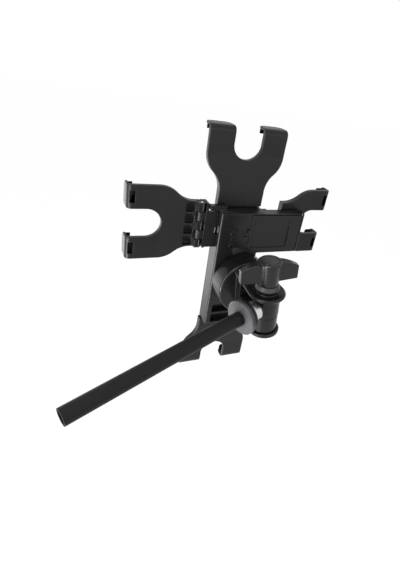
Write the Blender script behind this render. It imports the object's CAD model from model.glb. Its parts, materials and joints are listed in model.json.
"""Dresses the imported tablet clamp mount: rounded mouldings, small fittings, finishes and studio."""
from __future__ import annotations

import json
import logging
import math
from collections import Counter
from collections.abc import Callable
from dataclasses import dataclass, field
from enum import Enum

import bpy
from mathutils import Matrix, Vector
from mathutils.bvhtree import BVHTree

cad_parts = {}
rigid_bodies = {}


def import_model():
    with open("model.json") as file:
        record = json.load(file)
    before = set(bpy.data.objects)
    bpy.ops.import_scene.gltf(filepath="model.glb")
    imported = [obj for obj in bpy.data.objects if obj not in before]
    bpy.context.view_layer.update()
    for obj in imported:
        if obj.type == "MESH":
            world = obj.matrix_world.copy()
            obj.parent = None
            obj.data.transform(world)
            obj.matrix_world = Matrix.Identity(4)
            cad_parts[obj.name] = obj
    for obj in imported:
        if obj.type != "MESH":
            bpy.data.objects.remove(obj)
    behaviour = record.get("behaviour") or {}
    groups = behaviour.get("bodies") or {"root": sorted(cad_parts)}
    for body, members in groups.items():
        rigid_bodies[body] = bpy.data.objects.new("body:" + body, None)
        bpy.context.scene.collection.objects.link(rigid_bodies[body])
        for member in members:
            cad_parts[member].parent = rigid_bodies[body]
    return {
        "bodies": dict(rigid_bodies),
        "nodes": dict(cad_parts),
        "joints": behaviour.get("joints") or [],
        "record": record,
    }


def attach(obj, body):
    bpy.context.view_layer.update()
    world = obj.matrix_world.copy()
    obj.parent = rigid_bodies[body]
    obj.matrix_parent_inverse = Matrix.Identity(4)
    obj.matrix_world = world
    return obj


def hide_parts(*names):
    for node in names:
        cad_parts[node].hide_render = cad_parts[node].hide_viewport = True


log = logging.getLogger("clamp_mount")

MM = 0.001

# Three sizes, a place, a direction or a colour
Size3 = tuple[float, float, float]


def clear_selection() -> None:
    """Deselect every object."""
    for other in bpy.context.selected_objects:
        other.select_set(False)


def edit_chosen_faces() -> None:
    """Go back to edit mode, in face mode, with the faces that were chosen in code."""
    bpy.ops.object.mode_set(mode="EDIT")
    bpy.ops.mesh.select_mode(type="FACE")


def clear_mesh_selection() -> None:
    """Deselect the active piece's whole mesh, and end in object mode."""
    bpy.ops.object.mode_set(mode="EDIT")
    bpy.ops.mesh.select_all(action="DESELECT")
    bpy.ops.object.mode_set(mode="OBJECT")


def triangulate() -> None:
    """Split the selected faces into triangles."""
    bpy.ops.mesh.quads_convert_to_tris(quad_method="BEAUTY", ngon_method="BEAUTY")


class Body(Enum):
    """CAD bodies that the pieces ride on."""

    ARM = "arm"
    SWIVEL = "swivel"
    BRACKET = "bracket"
    KNOB = "knob"
    HUB = "hub"
    DOOR = "door_leaf"
    UPPER_ARM = "upper_arm"
    LOWER_ARM = "lower_arm"
    SLIDER = "slider"
    FOLDING_FORK = "folding_fork"
    RIGHT_FORK = "right_fork"


class NodeSheet:
    """Short-hand for the node tree of one material."""

    edge_samples = 4
    corner_samples = 6

    def __init__(self, name: str) -> None:
        """Start an empty material.

        Args:
            name: Name of the material.
        """
        self.material = bpy.data.materials.new(name)
        self.material.use_nodes = True
        self.tree = self.material.node_tree
        self.shader = self.tree.nodes["Principled BSDF"]
        self.output = self.tree.nodes["Material Output"]

    def add(self, kind: str, **settings: object) -> bpy.types.Node:
        """Add a node.

        Args:
            kind: Type name of the node.
            settings: Properties to set on it.

        Returns:
            The node.
        """
        node = self.tree.nodes.new(kind)
        for key, value in settings.items():
            setattr(node, key, value)
        return node

    def link(self, start: bpy.types.NodeSocket, end: bpy.types.NodeSocket) -> None:
        """Join two sockets.

        Args:
            start: Socket that gives the value.
            end: Socket that takes it.
        """
        self.tree.links.new(start, end)

    def noise(self, scale: float, detail: float, stretch: Size3 = (1, 1, 1)) -> bpy.types.NodeSocket:
        """Add a noise texture that reads object coordinates.

        Args:
            scale: Waves per metre.
            detail: Octaves.
            stretch: Scale of each axis before the noise.

        Returns:
            The noise's value socket.
        """
        place = self.add("ShaderNodeTexCoord")
        mapping = self.add("ShaderNodeMapping")
        mapping.inputs["Scale"].default_value = stretch
        texture = self.add("ShaderNodeTexNoise")
        texture.inputs["Scale"].default_value = scale
        texture.inputs["Detail"].default_value = detail
        self.link(place.outputs["Object"], mapping.inputs["Vector"])
        self.link(mapping.outputs["Vector"], texture.inputs["Vector"])
        return texture.outputs["Fac"]

    def cells(self, scale: float) -> bpy.types.NodeSocket:
        """Add a Voronoi texture that reads object coordinates.

        Args:
            scale: Cells per metre.

        Returns:
            The distance socket.
        """
        place = self.add("ShaderNodeTexCoord")
        texture = self.add("ShaderNodeTexVoronoi")
        texture.inputs["Scale"].default_value = scale
        self.link(place.outputs["Object"], texture.inputs["Vector"])
        return texture.outputs["Distance"]

    def spread(self, value: bpy.types.NodeSocket, low: float, high: float) -> bpy.types.NodeSocket:
        """Map a value from 0..1 to a range.

        Args:
            value: The socket to map.
            low: Result at 0.
            high: Result at 1.

        Returns:
            The mapped socket.
        """
        node = self.add("ShaderNodeMapRange")
        node.inputs["To Min"].default_value = low
        node.inputs["To Max"].default_value = high
        self.link(value, node.inputs["Value"])
        return node.outputs["Result"]

    def edge_mask(self, radius: float, sharpness: float) -> bpy.types.NodeSocket:
        """Mask of the outer edges, from the difference between rounded and true normals.

        Args:
            radius: Reach of the edge in metres.
            sharpness: How fast the mask grows with the bend.

        Returns:
            A socket that is 0 on flat ground and 1 on an edge.
        """
        bevel = self.add("ShaderNodeBevel", samples=self.edge_samples)
        bevel.inputs["Radius"].default_value = radius
        ground = self.add("ShaderNodeNewGeometry")
        dot = self.add("ShaderNodeVectorMath", operation="DOT_PRODUCT")
        self.link(bevel.outputs["Normal"], dot.inputs[0])
        self.link(ground.outputs["Normal"], dot.inputs[1])
        bend = self.add("ShaderNodeMath", operation="SUBTRACT")
        bend.inputs[0].default_value = 1.0
        self.link(dot.outputs["Value"], bend.inputs[1])
        grow = self.add("ShaderNodeMath", operation="MULTIPLY", use_clamp=True)
        grow.inputs[1].default_value = sharpness
        self.link(bend.outputs["Value"], grow.inputs[0])
        return grow.outputs["Value"]

    def crevice_mask(self, reach: float) -> bpy.types.NodeSocket:
        """Mask of narrow corners, where dust and grease stay.

        Args:
            reach: Distance in metres within which walls count.

        Returns:
            A socket that is 1 on open ground and 0 deep in a corner.
        """
        corner = self.add("ShaderNodeAmbientOcclusion", samples=self.corner_samples)
        corner.inputs["Distance"].default_value = reach
        return corner.outputs["AO"]

    def blend(self, mask: bpy.types.NodeSocket | float, first: bpy.types.NodeSocket | Size3,
              second: bpy.types.NodeSocket | Size3) -> bpy.types.NodeSocket:
        """Blend two colours.

        Args:
            mask: Share of the second colour.
            first: Colour or socket.
            second: Colour or socket.

        Returns:
            The blended colour socket.
        """
        node = self.add("ShaderNodeMix", data_type="RGBA")
        for source, target in ((mask, node.inputs[0]), (first, node.inputs[6]), (second, node.inputs[7])):
            if isinstance(source, bpy.types.NodeSocket):
                self.link(source, target)
            elif isinstance(source, (int, float)):
                target.default_value = source
            else:
                target.default_value = (*source, 1.0)
        return node.outputs[2]

    def bumps(self, layers: list[tuple[bpy.types.NodeSocket, float, float]]) -> None:
        """Stack bump layers onto the shader's normal.

        Args:
            layers: Height socket, strength and depth in metres of each layer.
        """
        normal = None
        for height, strength, depth in layers:
            node = self.add("ShaderNodeBump")
            node.inputs["Strength"].default_value = strength
            node.inputs["Distance"].default_value = depth
            self.link(height, node.inputs["Height"])
            if normal is not None:
                self.link(normal, node.inputs["Normal"])
            normal = node.outputs["Normal"]
        self.link(normal, self.shader.inputs["Normal"])


@dataclass(frozen=True)
class Moulding:
    """Injection-moulded plastic with a spark-eroded grain and slightly polished edges."""

    name: str
    colour: Size3
    roughness: float = 0.34
    grain: float = 1500.0
    grain_depth: float = 0.00002
    grain_strength: float = 0.16
    coarse_share: float = 0.4
    worn: float = 3.0
    cloud: float = 0.10
    gloss: float = 0.30
    cloud_scale: float = 45.0
    scuff_scale: float = 260.0
    least_scuff: float = 0.2
    smudge_scale: float = 70.0
    smudge_reach: tuple[float, float] = (0.05, 0.07)
    wave_scale: float = 28.0
    wave_strength: float = 0.10
    wave_depth: float = 0.0002
    edge_radius: float = 0.0010
    edge_growth: float = 3.0
    edge_polish: float = 0.10
    dust_reach: float = 0.004
    dust_share: float = 0.25

    def build(self) -> bpy.types.Material:
        """Make the material.

        Returns:
            The material.
        """
        sheet = NodeSheet(self.name)
        sheet.shader.inputs["Specular IOR Level"].default_value = self.gloss
        clouds = sheet.noise(self.cloud_scale, 3.0)
        tint = sheet.blend(sheet.spread(clouds, 0.0, 1.0),
                           tuple(c * (1 - self.cloud) for c in self.colour),
                           tuple(c * (1 + self.cloud) for c in self.colour))
        edge = sheet.edge_mask(self.edge_radius, self.edge_growth)
        scuffs = sheet.noise(self.scuff_scale, 5.0)
        scuffed = sheet.add("ShaderNodeMath", operation="MULTIPLY", use_clamp=True)
        sheet.link(edge, scuffed.inputs[0])
        sheet.link(sheet.spread(scuffs, self.least_scuff, 1.0), scuffed.inputs[1])
        colour = sheet.blend(scuffed.outputs["Value"], tint, tuple(c * self.worn for c in self.colour))
        dark = tuple(c * self.dust_share for c in self.colour)
        dusty = sheet.blend(sheet.crevice_mask(self.dust_reach), dark, colour)
        sheet.link(dusty, sheet.shader.inputs["Base Color"])
        smudges = sheet.noise(self.smudge_scale, 6.0)
        rough = sheet.add("ShaderNodeMath", operation="SUBTRACT", use_clamp=True)
        down, up = self.smudge_reach
        sheet.link(sheet.spread(smudges, self.roughness - down, self.roughness + up), rough.inputs[0])
        polish = sheet.add("ShaderNodeMath", operation="MULTIPLY")
        polish.inputs[1].default_value = self.edge_polish
        sheet.link(edge, polish.inputs[0])
        sheet.link(polish.outputs["Value"], rough.inputs[1])
        sheet.link(rough.outputs["Value"], sheet.shader.inputs["Roughness"])
        sheet.bumps([
            (sheet.cells(self.grain), self.grain_strength, self.grain_depth),
            (sheet.noise(self.grain * self.coarse_share, 4.0), self.grain_strength, self.grain_depth),
            (sheet.noise(self.wave_scale, 2.0), self.wave_strength, self.wave_depth),
        ])
        return sheet.material


@dataclass(frozen=True)
class TurnedMetal:
    """Turned or rolled metal with fine tool marks."""

    name: str
    colour: Size3
    roughness: float = 0.28
    roughness_reach: tuple[float, float] = (0.07, 0.10)
    roughness_scale: float = 900.0
    haze_scale: float = 400.0
    haze_share: float = 0.86
    marks: float = 4000.0
    marks_stretch: Size3 = (1.0, 0.12, 0.12)
    pit_scale: float = 600.0
    mark_depth: float = 0.00001

    def build(self) -> bpy.types.Material:
        """Make the material.

        Returns:
            The material.
        """
        sheet = NodeSheet(self.name)
        sheet.shader.inputs["Metallic"].default_value = 1.0
        haze = sheet.noise(self.haze_scale, 5.0)
        dull = tuple(c * self.haze_share for c in self.colour)
        colour = sheet.blend(sheet.spread(haze, 0.0, 1.0), dull, self.colour)
        sheet.link(colour, sheet.shader.inputs["Base Color"])
        down, up = self.roughness_reach
        rough = sheet.spread(sheet.noise(self.roughness_scale, 4.0), self.roughness - down, self.roughness + up)
        sheet.link(rough, sheet.shader.inputs["Roughness"])
        sheet.bumps([
            (sheet.noise(self.marks, 2.0, self.marks_stretch), 0.25, self.mark_depth),
            (sheet.noise(self.pit_scale, 3.0), 0.15, self.mark_depth),
        ])
        return sheet.material


@dataclass(frozen=True)
class PowderCoat:
    """Satin powder coat with its slight orange peel."""

    name: str
    colour: Size3
    roughness: float = 0.36
    gloss: float = 0.22
    roughness_reach: tuple[float, float] = (0.05, 0.06)
    roughness_scale: float = 120.0
    cloud_scale: float = 60.0
    cloud_shares: tuple[float, float] = (0.9, 1.12)
    peel_scale: float = 700.0
    peel_depth: float = 0.00003
    grain_scale: float = 2600.0
    grain_depth: float = 0.00001

    def build(self) -> bpy.types.Material:
        """Make the material.

        Returns:
            The material.
        """
        sheet = NodeSheet(self.name)
        sheet.shader.inputs["Specular IOR Level"].default_value = self.gloss
        clouds = sheet.noise(self.cloud_scale, 3.0)
        dark, light = (tuple(c * share for c in self.colour) for share in self.cloud_shares)
        tint = sheet.blend(sheet.spread(clouds, 0.0, 1.0), dark, light)
        sheet.link(tint, sheet.shader.inputs["Base Color"])
        down, up = self.roughness_reach
        rough = sheet.spread(sheet.noise(self.roughness_scale, 5.0), self.roughness - down, self.roughness + up)
        sheet.link(rough, sheet.shader.inputs["Roughness"])
        sheet.bumps([
            (sheet.noise(self.peel_scale, 2.0), 0.20, self.peel_depth),
            (sheet.cells(self.grain_scale), 0.12, self.grain_depth),
        ])
        return sheet.material


@dataclass(frozen=True)
class SoftRubber:
    """Matt rubber with a fine pitted skin."""

    name: str
    colour: Size3
    gloss: float = 0.2
    dust_scale: float = 320.0
    dust_share: float = 1.9
    roughness: tuple[float, float] = (0.72, 0.9)
    roughness_scale: float = 200.0
    pit_scale: float = 1800.0
    pit_depth: float = 0.00005
    wave_scale: float = 900.0
    wave_depth: float = 0.00003

    def build(self) -> bpy.types.Material:
        """Make the material.

        Returns:
            The material.
        """
        sheet = NodeSheet(self.name)
        sheet.shader.inputs["Specular IOR Level"].default_value = self.gloss
        dust = sheet.noise(self.dust_scale, 6.0)
        dusty = tuple(c * self.dust_share for c in self.colour)
        tint = sheet.blend(sheet.spread(dust, 0.0, 0.5), self.colour, dusty)
        sheet.link(tint, sheet.shader.inputs["Base Color"])
        rough = sheet.spread(sheet.noise(self.roughness_scale, 4.0), *self.roughness)
        sheet.link(rough, sheet.shader.inputs["Roughness"])
        sheet.bumps([
            (sheet.cells(self.pit_scale), 0.45, self.pit_depth),
            (sheet.noise(self.wave_scale, 3.0), 0.25, self.wave_depth),
        ])
        return sheet.material


Finish = Moulding | TurnedMetal | PowderCoat | SoftRubber

FINISHES: dict[str, Finish] = {
    "arm_plastic": Moulding("arm_plastic", (0.0100, 0.0100, 0.0108), roughness=0.38, gloss=0.24),
    "hub_plastic": Moulding("hub_plastic", (0.0085, 0.0085, 0.0092), roughness=0.32, gloss=0.28),
    "bracket_plastic": Moulding("bracket_plastic", (0.0070, 0.0070, 0.0076), roughness=0.25,
                                grain_strength=0.05, gloss=0.30),
    "knob_plastic": Moulding("knob_plastic", (0.0095, 0.0095, 0.0102), roughness=0.23,
                             grain_strength=0.05, gloss=0.34),
    "ring_plastic": Moulding("ring_plastic", (0.0050, 0.0050, 0.0054), roughness=0.45),
    "collar_plastic": Moulding("collar_plastic", (0.085, 0.085, 0.090), roughness=0.32, worn=1.6,
                               grain_strength=0.10),
    "washer_plastic": Moulding("washer_plastic", (0.055, 0.055, 0.055), roughness=0.36, worn=1.2,
                               grain_strength=0.10),
    "soft_pad": SoftRubber("soft_pad", (0.014, 0.014, 0.014)),
    "tube_paint": PowderCoat("tube_paint", (0.0065, 0.0065, 0.0069), roughness=0.55),
    "brass_bush": TurnedMetal("brass_bush", (0.62, 0.43, 0.17)),
    "bright_steel": TurnedMetal("bright_steel", (0.66, 0.66, 0.67)),
    "dark_screw": TurnedMetal("dark_screw", (0.045, 0.045, 0.047), roughness=0.38),
    "spring_steel": TurnedMetal("spring_steel", (0.48, 0.48, 0.50)),
}


class Workshop:
    """Holds the frame and the finished materials, and makes the common operations."""

    merge_distance = 0.000002
    flat_angle = math.radians(0.4)
    unfolded_flat_angle = math.radians(0.6)
    smooth_angle = math.radians(50)
    flatten_weight = 85
    stray_share = 0.75
    unfold_rounds = 3
    fold_limit = -0.98

    def __init__(self) -> None:
        """Load the frame and build every finish."""
        self.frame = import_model()
        self.nodes: dict[str, bpy.types.Object] = self.frame["nodes"]
        self.slots = {row["node"]: row["material_slot"] for row in self.frame["record"]["subparts"]}
        self.materials = {slot: finish.build() for slot, finish in FINISHES.items()}
        for name, node in self.nodes.items():
            self.paint(node, self.slots[name])
        # The plate screws are as black as the shell that they sit in.
        self.paint(self.nodes["plate_screws"], "hub_plastic")

    def joint(self, name: str) -> dict[str, object]:
        """Look up a joint of the frame.

        Args:
            name: Name of the joint.

        Returns:
            Its row, with its place and axis.
        """
        return next(row for row in self.frame["record"]["behaviour"]["joints"] if row["name"] == name)

    def mount_size(self, name: str, size: str) -> float:
        """Look up a size of one of the frame's mounts.

        Args:
            name: Name of the mount.
            size: Name of the size, in millimetres.

        Returns:
            The size in metres.
        """
        mount = next(row for row in self.frame["record"]["mounts"] if row["name"] == name)
        return mount["dims"][size] * MM

    def paint(self, piece: bpy.types.Object, slot: str) -> None:
        """Give a piece the finish of a slot.

        Args:
            piece: The object.
            slot: Name of the record's material slot.
        """
        if not piece.data.materials:
            piece.data.materials.append(None)
        for index in range(len(piece.data.materials)):
            piece.data.materials[index] = self.materials[slot]

    def select(self, piece: bpy.types.Object) -> None:
        """Make a piece the only selected object, and the active one.

        Args:
            piece: The object.
        """
        clear_selection()
        piece.select_set(True)
        bpy.context.view_layer.objects.active = piece

    def settle(self, piece: bpy.types.Object, name: str, slot: str, body: Body) -> bpy.types.Object:
        """Name, place, paint and hang a finished piece.

        Args:
            piece: The object, modelled in place.
            name: Its name.
            slot: The record's slot that it takes its finish from.
            body: The body that it moves with.

        Returns:
            The piece.
        """
        self.select(piece)
        bpy.ops.object.transform_apply(location=True, rotation=True, scale=True)
        piece.name = name
        piece.data.name = name
        self.paint(piece, slot)
        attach(piece, body.value)
        log.info("%s rides on %s", name, body.value)
        return piece

    def shift_points(self, piece: bpy.types.Object, chosen: Callable[[Vector], bool],
                     way: Vector) -> None:
        """Move the chosen points of a piece in edit mode.

        Args:
            piece: The piece, in edit mode.
            chosen: Says whether a point moves.
            way: The move in metres.
        """
        self.choose_points(piece, chosen)
        bpy.ops.transform.translate(value=way)

    def scale_points(self, piece: bpy.types.Object, chosen: Callable[[Vector], bool],
                     centre: Vector, scale: Vector) -> None:
        """Scale the chosen points of a piece in edit mode.

        Args:
            piece: The piece, in edit mode.
            chosen: Says whether a point is scaled.
            centre: The fixed point of the scaling.
            scale: Scale along each axis.
        """
        self.choose_points(piece, chosen)
        bpy.ops.transform.resize(value=scale, center_override=centre)

    def choose_points(self, piece: bpy.types.Object, chosen: Callable[[Vector], bool]) -> None:
        """Select the points that pass a test, and go back to edit mode.

        Args:
            piece: The piece, in edit mode.
            chosen: The test.
        """
        bpy.context.tool_settings.mesh_select_mode = (True, False, False)
        bpy.ops.mesh.select_all(action="DESELECT")
        bpy.ops.object.mode_set(mode="OBJECT")
        for vertex in piece.data.vertices:
            vertex.select = chosen(vertex.co)
        log.info("%s: %d points chosen", piece.name, sum(vertex.select for vertex in piece.data.vertices))
        bpy.ops.object.mode_set(mode="EDIT")

    def unfold(self, piece: bpy.types.Object) -> None:
        """Dissolve the edges at which a flat face lies folded back on its neighbour.

        Args:
            piece: The piece, in edit mode.
        """
        bpy.ops.mesh.select_all(action="DESELECT")
        bpy.ops.object.mode_set(mode="OBJECT")
        normals: dict[tuple[int, int], list[Vector]] = {}
        for face in piece.data.polygons:
            for key in face.edge_keys:
                normals.setdefault(key, []).append(face.normal.copy())
        for edge in piece.data.edges:
            sides = normals.get(edge.key, [])
            edge.select = len(sides) == 2 and sides[0].dot(sides[1]) < self.fold_limit
        bpy.ops.object.mode_set(mode="EDIT")
        bpy.ops.mesh.select_mode(type="EDGE")
        bpy.ops.mesh.dissolve_edges(use_verts=False)
        bpy.ops.mesh.select_all(action="SELECT")
        bpy.ops.mesh.dissolve_limited(angle_limit=self.unfolded_flat_angle)
        triangulate()

    def drop_flaps(self, piece: bpy.types.Object) -> None:
        """Delete triangles that hang on the rest by one edge only.

        Args:
            piece: The piece, in edit mode.
        """
        bpy.ops.mesh.select_all(action="DESELECT")
        bpy.ops.object.mode_set(mode="OBJECT")
        uses = Counter(key for face in piece.data.polygons for key in face.edge_keys)
        for face in piece.data.polygons:
            face.select = sum(uses[key] == 1 for key in face.edge_keys) > 1
        edit_chosen_faces()
        bpy.ops.mesh.delete(type="FACE")

    def drop_strays(self, piece: bpy.types.Object, sharp_shape: BVHTree, reach: float) -> None:
        """Dissolve rounding points that left the shape they came from.

        Args:
            piece: The rounded piece, in object mode.
            sharp_shape: The shape before the rounding.
            reach: Distance in metres that a point may lie from it.
        """
        self.select(piece)
        bpy.ops.object.mode_set(mode="EDIT")
        self.choose_points(piece, lambda point: sharp_shape.find_nearest(point)[3] > reach)
        bpy.ops.mesh.dissolve_verts()
        bpy.ops.mesh.select_all(action="SELECT")
        bpy.ops.mesh.dissolve_degenerate(threshold=self.merge_distance)
        triangulate()
        for _ in range(self.unfold_rounds):
            self.unfold(piece)
            self.drop_flaps(piece)
        bpy.ops.object.mode_set(mode="OBJECT")

    def rounded(self, node: str, body: Body, width: float, corner: float = 32.0, steps: int = 2,
                shaping: Callable[[bpy.types.Object], None] | None = None) -> bpy.types.Object:
        """Copy a CAD node, round its sharp edges as a mould does, and show the copy instead.

        Args:
            node: The CAD node.
            body: The body that the node is on.
            width: Width of the rounding in metres.
            corner: Edges that turn by more degrees than this are rounded.
            steps: Segments of the rounding.
            shaping: Further shaping of the merged copy, in edit mode, before the rounding.

        Returns:
            The rounded piece.
        """
        self.select(self.nodes[node])
        bpy.ops.object.duplicate(linked=False)
        piece = bpy.context.view_layer.objects.active
        piece.parent = None
        for key in [key for key in piece.keys() if key.startswith("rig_")]:
            del piece[key]
        self.select(piece)
        bpy.ops.object.mode_set(mode="EDIT")
        bpy.ops.mesh.select_all(action="SELECT")
        bpy.ops.mesh.remove_doubles(threshold=self.merge_distance)
        if shaping is not None:
            shaping(piece)
            bpy.ops.mesh.select_all(action="SELECT")
        bpy.ops.mesh.dissolve_limited(angle_limit=self.flat_angle)
        triangulate()
        bpy.ops.object.mode_set(mode="OBJECT")
        sharp_shape = BVHTree.FromPolygons([vertex.co.copy() for vertex in piece.data.vertices],
                                           [tuple(face.vertices) for face in piece.data.polygons])
        bevel = piece.modifiers.new("rounding", "BEVEL")
        bevel.width = width
        bevel.segments = steps
        bevel.limit_method = "ANGLE"
        bevel.angle_limit = math.radians(corner)
        # Short edges don't hold the rounding back: drop_strays mends the points that leave the shape.
        bevel.use_clamp_overlap = False
        bevel.face_strength_mode = "FSTR_ALL"
        bpy.ops.object.modifier_apply(modifier=bevel.name)
        self.drop_strays(piece, sharp_shape, width * self.stray_share)
        bpy.ops.object.shade_smooth_by_angle(angle=self.smooth_angle)
        flatten = piece.modifiers.new("flatten", "WEIGHTED_NORMAL")
        flatten.mode = "FACE_AREA_WITH_ANGLE"
        flatten.weight = self.flatten_weight
        flatten.keep_sharp = True
        flatten.use_face_influence = True
        bpy.ops.object.modifier_apply(modifier=flatten.name)
        self.settle(piece, f"{node}_moulding", self.slots[node], body)
        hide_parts(node)
        return piece


@dataclass
class ArmTube:
    """Small fitting of the carrying tube: the grub screw that fixes its bush."""

    shop: Workshop
    screw_distance: float = 34.5 * MM
    screw_radius: float = 1.15 * MM
    screw_length: float = 0.8 * MM
    screw_depth: float = 0.25 * MM
    screw_side: Size3 = (-0.30, -0.62, 0.55)
    screw_corners: int = 24
    rim_width: float = 0.12 * MM
    rim_drop: float = 0.05 * MM
    face_width: float = 0.42 * MM
    socket_draft: float = 0.02 * MM
    socket_depth: float = 0.45 * MM
    crease: float = math.radians(30)

    def build(self) -> None:
        """Make the group's pieces."""
        self.grub_screw()

    def grub_screw(self) -> None:
        """Small hexagon-socket screw, set just below the tube's surface."""
        swivel = self.shop.joint("arm_swivel")
        along = Vector(swivel["axis"]).normalized()
        towards = Vector(self.screw_side)
        outward = (towards - along * towards.dot(along)).normalized()
        radius = self.shop.mount_size("tube_end", "r_mm")
        centre = Vector(swivel["pos_m"]) + along * self.screw_distance + outward * (radius - self.screw_depth)
        turn = outward.to_track_quat("Z", "Y").to_euler()
        clear_selection()
        bpy.ops.mesh.primitive_cylinder_add(vertices=self.screw_corners, radius=self.screw_radius,
                                            depth=self.screw_length, location=centre, rotation=turn)
        screw = bpy.context.view_layer.objects.active
        clear_mesh_selection()
        max(screw.data.polygons, key=lambda face: face.center.z).select = True
        edit_chosen_faces()
        bpy.ops.mesh.inset(thickness=self.rim_width, depth=-self.rim_drop)
        bpy.ops.mesh.inset(thickness=self.face_width, depth=0.0)
        bpy.ops.mesh.inset(thickness=self.socket_draft, depth=-self.socket_depth)
        bpy.ops.object.mode_set(mode="OBJECT")
        bpy.ops.object.shade_smooth_by_angle(angle=self.crease)
        self.shop.settle(screw, "grub_screw", "dark_screw", Body.ARM)


@dataclass
class TiltJoint:
    """Knuckle, clevis bracket and foot with mould-rounded edges, and the disc's turned skin."""

    shop: Workshop
    bracket_edge: float = 0.7 * MM
    knuckle_edge: float = 0.35 * MM
    foot_edge: float = 0.3 * MM
    turn: float = math.radians(7.0)
    ear_levels: tuple[float, float] = (15.1 * MM, 20.1 * MM)
    ear_half_widths: tuple[float, float] = (15.2 * MM, 18.0 * MM)
    ear_length: float = 38.0 * MM
    ear_edge: float = 2.9 * MM
    ear_narrowing: float = 4.6 * MM
    ear_bands: int = 38
    ear_slack: float = 0.1 * MM
    disc_slack: float = 0.03 * MM
    disc_ends: tuple[float, float] = (-37.05 * MM, -19.1 * MM)
    disc_radius: float = 26.05 * MM
    disc_round: float = 2.2 * MM
    disc_corners: int = 144
    disc_round_steps: int = 8
    shell_wall: float = 0.3 * MM
    shell_crease: float = math.radians(40)
    barrel: Vector = field(init=False)
    disc_centre: tuple[float, float] = field(init=False)
    across: Vector = field(init=False)
    along: Vector = field(init=False)

    def __post_init__(self) -> None:
        """Take the barrel's and the disc's places from the joints, and set the ear's own directions."""
        self.barrel = Vector(self.shop.joint("tilt")["pos_m"])
        centre_x, _, centre_z = self.shop.joint("turntable")["pos_m"]
        self.disc_centre = (centre_x, centre_z)
        self.across = Vector((math.cos(self.turn), 0, math.sin(self.turn)))
        self.along = Vector((-math.sin(self.turn), 0, math.cos(self.turn)))

    def on_ear_side(self, point: Vector, side: int, band: int) -> bool:
        """Tell whether a point is on a long side of the upper ear, in one band of its length.

        Args:
            point: The point.
            side: 1 for the ear's right side, -1 for its left.
            band: Number of the band, counted from the barrel.

        Returns:
            True if it is.
        """
        local = point - self.barrel
        step = self.ear_length / self.ear_bands
        if not (self.ear_levels[0] < local.dot(self.along) < self.ear_levels[1]
                and (band - 0.5) * step < local.y <= (band + 0.5) * step):
            return False
        narrow, wide = self.ear_half_widths
        half_width = narrow + (wide - narrow) * local.y / self.ear_length
        reach = math.hypot(point.x - self.disc_centre[0], point.z - self.disc_centre[1])
        behind_disc = point.y < self.disc_ends[0] + self.ear_slack
        beside_disc = reach > self.disc_radius - self.disc_slack
        sideways = side * local.dot(self.across)
        on_side = half_width - self.ear_edge < sideways < half_width + self.ear_slack
        return (behind_disc or beside_disc) and on_side

    def narrow_ear(self, piece: bpy.types.Object) -> None:
        """Draw the upper ear's sides in towards the disc, more with each band.

        Args:
            piece: The bracket, in edit mode.
        """
        for side in (-1, 1):
            for band in range(1, self.ear_bands + 1):
                shift = side * self.ear_narrowing * band / self.ear_bands
                self.shop.shift_points(piece, lambda point: self.on_ear_side(point, side, band),
                                       self.across * -shift)

    def disc_shell(self) -> None:
        """Turned skin of the turntable disc, with its large rounding at the rear."""
        rear, front = self.disc_ends
        middle = Vector((self.disc_centre[0], (rear + front) / 2, self.disc_centre[1]))
        clear_selection()
        bpy.ops.mesh.primitive_cylinder_add(vertices=self.disc_corners, radius=self.disc_radius,
                                            depth=front - rear, location=middle,
                                            rotation=(math.radians(90), 0, 0))
        shell = bpy.context.view_layer.objects.active
        bpy.ops.object.transform_apply(location=True, rotation=True, scale=True)
        clear_mesh_selection()
        max(shell.data.polygons, key=lambda face: face.center.y).select = True
        edit_chosen_faces()
        bpy.ops.mesh.delete(type="FACE")
        bpy.ops.object.mode_set(mode="OBJECT")
        min(shell.data.polygons, key=lambda face: face.center.y).select = True
        bpy.ops.object.mode_set(mode="EDIT")
        bpy.ops.mesh.region_to_loop()
        bpy.ops.mesh.bevel(offset=self.disc_round, segments=self.disc_round_steps, affect="EDGES")
        bpy.ops.object.mode_set(mode="OBJECT")
        wall = shell.modifiers.new("wall", "SOLIDIFY")
        wall.thickness = self.shell_wall
        wall.offset = -1.0
        bpy.ops.object.modifier_apply(modifier=wall.name)
        bpy.ops.object.shade_smooth_by_angle(angle=self.shell_crease)
        self.shop.settle(shell, "disc_shell", "bracket_plastic", Body.BRACKET)

    def build(self) -> None:
        """Make the group's pieces."""
        self.shop.rounded("clevis_bracket", Body.BRACKET, self.bracket_edge, shaping=self.narrow_ear)
        self.disc_shell()
        self.shop.rounded("tilt_knuckle", Body.SWIVEL, self.knuckle_edge)
        self.shop.rounded("foot_cap", Body.BRACKET, self.foot_edge, corner=30.0)


@dataclass
class WingKnob:
    """Post with two wings, in one moulding."""

    shop: Workshop
    wing_edge: float = 0.7 * MM

    def build(self) -> None:
        """Make the group's pieces."""
        self.shop.rounded("wing_knob", Body.KNOB, self.wing_edge, steps=3)


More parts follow.
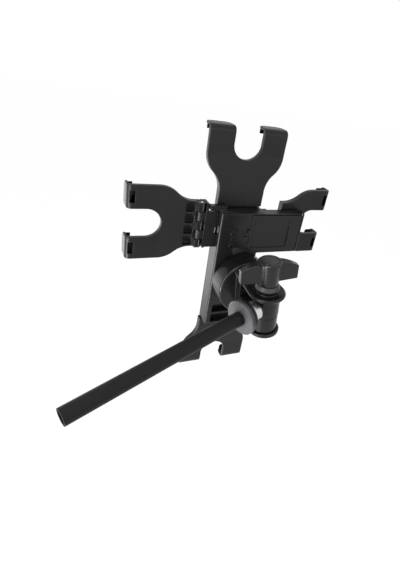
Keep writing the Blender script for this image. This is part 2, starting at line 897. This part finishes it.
@dataclass
class Hub:
    """Rear shell with its drafted top, lid with its sunk panel, and front cover."""

    shop: Workshop
    shell_edge: float = 0.4 * MM
    lid_edge: float = 0.25 * MM
    slope_low: float = 53.4 * MM
    slope_front: float = -16.1 * MM
    panel_floor: float = -17.5 * MM
    floor_slack: float = 0.02 * MM
    edge_slack: float = 0.1 * MM
    panel_deeper: float = 0.55 * MM
    lid_upper_edge: float = 53.0 * MM
    lid_left_edge: float = 9.7 * MM
    lid_gap: float = 0.4 * MM
    top_squeeze: float = 0.35

    def slope_top(self, piece: bpy.types.Object) -> None:
        """Let the shell's top slope down to its rear face, as the mould's draft does.

        Args:
            piece: The shell, in edit mode.
        """
        self.shop.scale_points(piece, lambda point: point.y < self.slope_front and point.z > self.slope_low,
                               Vector((0, 0, self.slope_low)), Vector((1, 1, self.top_squeeze)))

    def shape_lid(self, piece: bpy.types.Object) -> None:
        """Sink the floor of the lid's panel, and widen the gap along its top and left edges.

        Args:
            piece: The lid, in edit mode.
        """
        self.shop.shift_points(piece, lambda point: abs(point.y - self.panel_floor) < self.floor_slack,
                               Vector((0, self.panel_deeper, 0)))
        self.shop.shift_points(piece, lambda point: point.z > self.lid_upper_edge - self.edge_slack,
                               Vector((0, 0, -self.lid_gap)))
        self.shop.shift_points(piece, lambda point: point.x < self.lid_left_edge + self.edge_slack,
                               Vector((self.lid_gap, 0, 0)))

    def build(self) -> None:
        """Make the group's pieces."""
        self.shop.rounded("hub_housing", Body.HUB, self.shell_edge, shaping=self.slope_top)
        self.shop.rounded("door", Body.DOOR, self.lid_edge, shaping=self.shape_lid)
        self.shop.rounded("hub_cover", Body.HUB, self.lid_edge)


@dataclass
class Arms:
    """The four hooked forks and the left slider."""

    shop: Workshop
    fork_edge: float = 0.6 * MM
    slider_edge: float = 0.3 * MM
    side_height: float = 40.2 * MM
    pocket_pitch: float = 10.25 * MM
    pocket_rows: tuple[float, ...] = (-1.5, -0.5, 0.5, 1.5)
    pocket_half_height: float = 3.62 * MM
    pocket_front: float = -3.3 * MM
    pocket_reach: tuple[float, float] = (-48.0 * MM, -40.0 * MM)
    pocket_scale: Size3 = (1.0, 1.0, 1.15)
    pocket_centre: float = -43.6 * MM

    def open_pockets(self, piece: bpy.types.Object) -> None:
        """Widen the four pockets beside the hinge, down to thin ribs.

        Args:
            piece: The left fork, in edit mode.
        """
        near, far = self.pocket_reach
        for row in self.pocket_rows:
            middle = self.side_height + row * self.pocket_pitch
            self.shop.scale_points(
                piece, lambda point: (near < point.x < far and point.y < self.pocket_front
                                      and abs(point.z - middle) < self.pocket_half_height),
                Vector((self.pocket_centre, 0, middle)), Vector(self.pocket_scale))

    def build(self) -> None:
        """Make the group's pieces."""
        for node, body in (("top_arm", Body.UPPER_ARM), ("bottom_arm", Body.LOWER_ARM),
                           ("right_arm", Body.RIGHT_FORK)):
            self.shop.rounded(node, body, self.fork_edge)
        self.shop.rounded("left_fork", Body.FOLDING_FORK, self.fork_edge, shaping=self.open_pockets)
        self.shop.rounded("left_slider", Body.SLIDER, self.slider_edge)


@dataclass(frozen=True)
class Softbox:
    """Rectangular lamp that looks at the object."""

    name: str
    place: Size3
    size: tuple[float, float]
    radiance: float

    def hang(self) -> None:
        """Hang the lamp. Its radiance is the brightness of its face, where 1 is white."""
        data = bpy.data.lights.new(self.name, "AREA")
        data.shape = "RECTANGLE"
        data.size, data.size_y = self.size
        data.energy = self.radiance * math.pi * self.size[0] * self.size[1]
        lamp = bpy.data.objects.new(self.name, data)
        bpy.context.scene.collection.objects.link(lamp)
        lamp.location = self.place
        lamp.rotation_euler = (Vector((0, 0, 0)) - Vector(self.place)).to_track_quat("-Z", "Y").to_euler()


SOFTBOXES = (
    Softbox("left_box", (-0.90, -0.38, -0.12), (0.35, 1.10), 8.0),
    Softbox("edge_box", (-0.80, -0.42, -0.49), (0.42, 0.16), 34.0),
    Softbox("top_box", (-0.50, -0.35, 0.72), (0.4, 0.4), 6.0),
    Softbox("back_box", (-0.45, 0.88, -0.45), (0.9, 0.7), 1.6),
    Softbox("front_box", (0.35, -1.10, 0.45), (1.0, 0.8), 0.9),
)


@dataclass
class Studio:
    """Camera, lamps and pale surroundings."""

    eye: Size3 = (-0.14685, -0.29524, 0.1728)
    forward: Size3 = (0.4245, 0.7795, -0.4607)
    up: Size3 = (0.0481, 0.4887, 0.8711)
    focal_px: float = 390.78
    image_px: tuple[int, int] = (400, 570)
    centre_px: tuple[float, float] = (239.0, 260.0)
    sensor: float = 36.0
    nearest: float = 0.01
    floor_level: float = -0.62
    floor_size: float = 12.0
    floor_tone: float = 0.82
    floor_roughness: float = 0.9
    floor_white: float = 1.25
    shadow_share: float = 0.25
    fill: float = 0.20

    def camera(self) -> None:
        """Place the camera at the photograph's viewpoint."""
        data = bpy.data.cameras.new("camera")
        camera = bpy.data.objects.new("camera", data)
        bpy.context.scene.collection.objects.link(camera)
        width, height = self.image_px
        data.sensor_width = self.sensor
        data.lens = self.focal_px * self.sensor / height
        data.shift_x = (width / 2 - self.centre_px[0]) / height
        data.shift_y = (self.centre_px[1] - height / 2) / height
        data.clip_start = self.nearest
        back = -Vector(self.forward).normalized()
        right = Vector(self.up).cross(back).normalized()
        upward = back.cross(right)
        camera.matrix_world = Matrix((
            (right.x, upward.x, back.x, self.eye[0]),
            (right.y, upward.y, back.y, self.eye[1]),
            (right.z, upward.z, back.z, self.eye[2]),
            (0, 0, 0, 1),
        ))
        bpy.context.scene.camera = camera

    def seen_directly(self, tree: bpy.types.NodeTree) -> bpy.types.NodeSocket:
        """Add a mask of the rays that should meet a white background.

        Args:
            tree: Node tree of the material or the world.

        Returns:
            A socket that is 1 for camera, glossy and transmission rays.
        """
        path = tree.nodes.new("ShaderNodeLightPath")
        total = path.outputs["Is Camera Ray"]
        for kind in ("Is Glossy Ray", "Is Transmission Ray"):
            either = tree.nodes.new("ShaderNodeMath")
            either.operation = "MAXIMUM"
            tree.links.new(total, either.inputs[0])
            tree.links.new(path.outputs[kind], either.inputs[1])
            total = either.outputs["Value"]
        return total

    def pale(self, name: str, brightness: float, shadow_share: float) -> bpy.types.Material:
        """Surface that looks white to the camera and keeps a share of its shadows.

        Args:
            name: Name of the material.
            brightness: Strength of the white that the camera sees.
            shadow_share: Share of the lit surface in what the camera sees.

        Returns:
            The material.
        """
        sheet = NodeSheet(name)
        sheet.shader.inputs["Base Color"].default_value = (*(self.floor_tone,) * 3, 1.0)
        sheet.shader.inputs["Roughness"].default_value = self.floor_roughness
        glow = sheet.add("ShaderNodeEmission")
        glow.inputs["Strength"].default_value = brightness
        mix = sheet.add("ShaderNodeMixShader")
        share = sheet.add("ShaderNodeMath", operation="MULTIPLY")
        share.inputs[1].default_value = 1.0 - shadow_share
        sheet.link(self.seen_directly(sheet.tree), share.inputs[0])
        sheet.link(share.outputs["Value"], mix.inputs[0])
        sheet.link(sheet.shader.outputs["BSDF"], mix.inputs[1])
        sheet.link(glow.outputs["Emission"], mix.inputs[2])
        sheet.link(mix.outputs["Shader"], sheet.output.inputs["Surface"])
        return sheet.material

    def floor(self) -> None:
        """Lay the pale floor."""
        clear_selection()
        bpy.ops.mesh.primitive_plane_add(size=self.floor_size, location=(0, 0, self.floor_level))
        plane = bpy.context.view_layer.objects.active
        plane.name = "floor"
        plane.data.materials.append(self.pale("pale_floor", self.floor_white, self.shadow_share))

    def surroundings(self) -> None:
        """Set the world: white to the camera, soft grey to the object."""
        world = bpy.data.worlds.new("studio")
        bpy.context.scene.world = world
        world.use_nodes = True
        nodes, links = world.node_tree.nodes, world.node_tree.links
        soft = nodes["Background"]
        soft.inputs["Color"].default_value = (1, 1, 1, 1)
        soft.inputs["Strength"].default_value = self.fill
        white = nodes.new("ShaderNodeBackground")
        white.inputs["Color"].default_value = (1, 1, 1, 1)
        white.inputs["Strength"].default_value = 1.0
        mix = nodes.new("ShaderNodeMixShader")
        links.new(self.seen_directly(world.node_tree), mix.inputs[0])
        links.new(soft.outputs["Background"], mix.inputs[1])
        links.new(white.outputs["Background"], mix.inputs[2])
        links.new(mix.outputs["Shader"], nodes["World Output"].inputs["Surface"])
        bpy.context.scene.view_settings.view_transform = "Standard"

    def build(self) -> None:
        """Set up everything around the object."""
        self.camera()
        for softbox in SOFTBOXES:
            softbox.hang()
        self.floor()
        self.surroundings()


def main() -> None:
    """Build the dressed model."""
    logging.basicConfig(level=logging.INFO, format="%(message)s")
    shop = Workshop()
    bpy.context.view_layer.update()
    Studio().build()
    for group in (ArmTube(shop), TiltJoint(shop), WingKnob(shop), Hub(shop), Arms(shop)):
        group.build()


if __name__ == "__main__":
    main()
